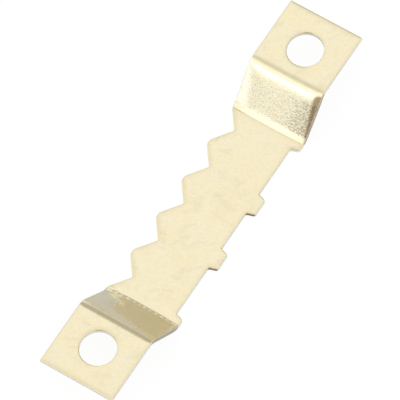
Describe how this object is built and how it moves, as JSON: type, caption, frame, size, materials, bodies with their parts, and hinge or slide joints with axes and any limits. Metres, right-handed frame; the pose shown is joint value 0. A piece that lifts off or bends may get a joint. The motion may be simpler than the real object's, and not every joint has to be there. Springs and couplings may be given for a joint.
{
  "type": "sawtooth picture hanger",
  "caption": "Bent sheet-metal picture hanger: a raised strip with a sawtooth edge that catches a wall nail, and a pierced flat tab at each end for nailing to a picture frame.",
  "frame": {"origin": "on the underside of the centre strip, in the middle of its length and width", "axes": "+X along the strip, +Y towards the toothed edge, +Z towards the picture frame that the tabs are nailed to"},
  "size_m": [0.045, 0.0082, 0.0045],
  "materials": {
    "plated_sheet": "thin satin brass plate over mild steel sheet, with an orange-peel grain on the bent risers"
  },
  "bodies": {
    "root": {"hanger_strip": "plated_sheet"}
  },
  "joints": []
}
